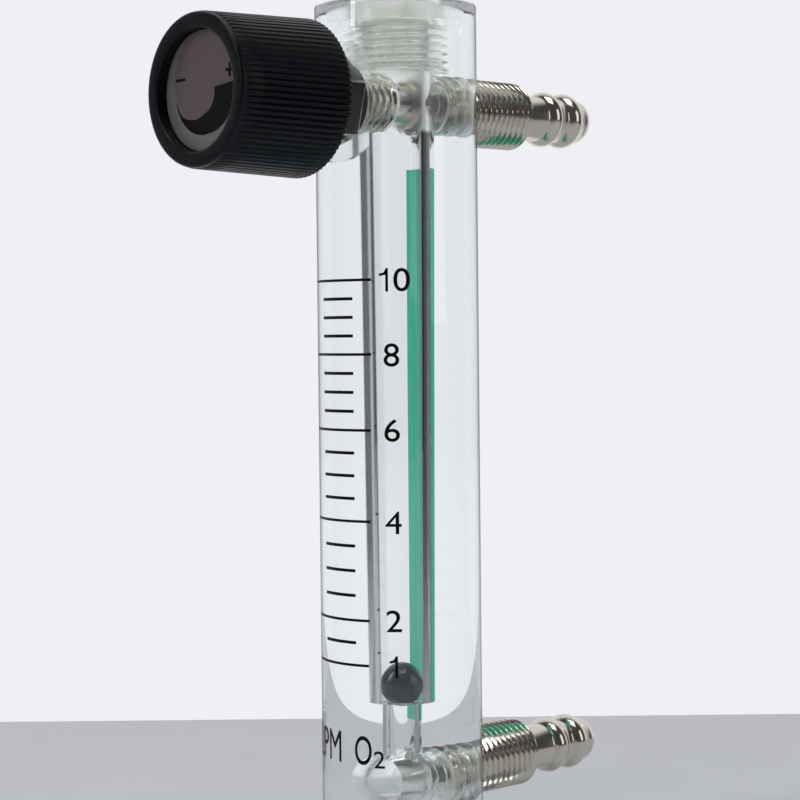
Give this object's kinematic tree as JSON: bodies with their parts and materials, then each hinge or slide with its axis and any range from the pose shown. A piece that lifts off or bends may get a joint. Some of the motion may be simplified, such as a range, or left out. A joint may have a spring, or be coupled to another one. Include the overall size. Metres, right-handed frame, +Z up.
{
  "type": "variable area gas flowmeter",
  "caption": "Clear acrylic rod flowmeter with a float ball in a tapered bore, a needle valve knob on the front and two barbed hose fittings on the back.",
  "frame": {"origin": "middle of the flat base of the rod body", "axes": "+Z up along the rod, -Y towards the knob, +Y towards the hose fittings"},
  "size_m": [0.022, 0.0713, 0.118],
  "materials": {
    "clear_acrylic": "polished clear",
    "natural_nylon": "milky, satin",
    "nickel_plate": "bright nickel plating on brass",
    "stainless_steel": "turned",
    "black_abs": "moulded, satin",
    "black_anodised": "black anodised, glossy",
    "black_rubber": "smooth",
    "grey_foil": "printed foil under a clear film",
    "black_glass": "polished black glass",
    "clear_silicone": "translucent, satin"
  },
  "bodies": {
    "meter": {"body": "clear_acrylic", "top_plug": "natural_nylon", "top_plug_seal": "clear_silicone", "upper_fitting": "nickel_plate", "upper_fitting_seal": "black_rubber", "lower_fitting": "nickel_plate", "lower_fitting_seal": "black_rubber", "valve_bushing": "nickel_plate", "nose_seal": "black_rubber", "valve_washer": "black_rubber", "valve_nut": "black_anodised"},
    "float": {"float_ball": "black_glass"},
    "valve_spindle": {"spindle": "stainless_steel", "spindle_seal": "black_rubber"},
    "valve_knob": {"knob": "black_abs", "knob_label": "grey_foil", "knob_screw": "stainless_steel"}
  },
  "joints": [
    {"name": "float_rise", "type": "slide", "parent": "meter", "child": "float", "axis": [0, 0, 1], "range_m": [0, 0.0724]},
    {"name": "spindle_travel", "type": "slide", "parent": "meter", "child": "valve_spindle", "axis": [0, -1, 0], "range_m": [0, 0.0015]},
    {"name": "knob_turn", "type": "hinge", "parent": "valve_spindle", "child": "valve_knob", "pos_m": [0, -0.017, 0.1044], "axis": [0, -1, 0], "range_deg": [0, 1080]}
  ],
  "couplings": [
    {"joint": "spindle_travel", "follows": "knob_turn", "m_per_rad": 0.000079577}
  ]
}
